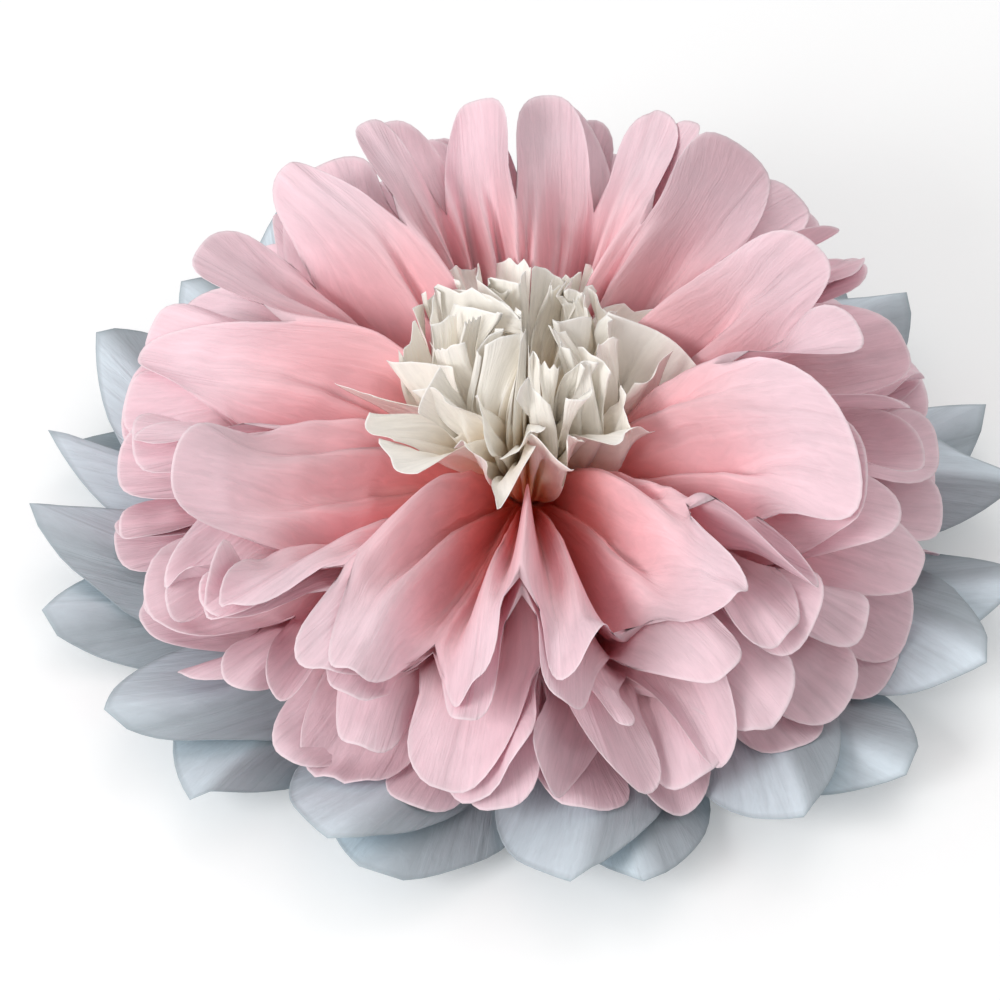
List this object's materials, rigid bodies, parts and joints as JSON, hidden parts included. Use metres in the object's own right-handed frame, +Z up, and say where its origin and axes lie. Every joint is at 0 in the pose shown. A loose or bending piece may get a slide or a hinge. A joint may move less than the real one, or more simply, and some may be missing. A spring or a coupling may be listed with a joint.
{
  "type": "paper flower",
  "caption": "Tissue paper flower: accordion-folded petal sheets open like a bowl round an upright ragged centre, over pointed leaf sheets, all gathered by a wire tie.",
  "frame": {"origin": "middle of the flower at the level of the table it rests on: the bottom centre of its bounding box", "axes": "+Z up from the table through the wire tie to the centre, +Y to the back, where the petals stand higher, +X across"},
  "size_m": [0.2986, 0.298, 0.1109],
  "materials": {
    "pink_tissue": "matt translucent tissue paper, pale pink",
    "grey_blue_tissue": "matt translucent tissue paper, grey blue",
    "ivory_tissue": "matt translucent tissue paper, ivory",
    "wire": "thin annealed wire"
  },
  "bodies": {
    "root": {"leaf_sheet_1": "grey_blue_tissue", "leaf_sheet_2": "grey_blue_tissue", "petal_sheet_1": "pink_tissue", "petal_sheet_2": "pink_tissue", "petal_sheet_3": "pink_tissue", "petal_sheet_4": "pink_tissue", "petal_sheet_5": "pink_tissue", "petal_sheet_6": "pink_tissue", "centre_sheet_1": "ivory_tissue", "centre_sheet_2": "ivory_tissue", "centre_sheet_3": "ivory_tissue", "wire_tie": "wire"}
  },
  "joints": []
}
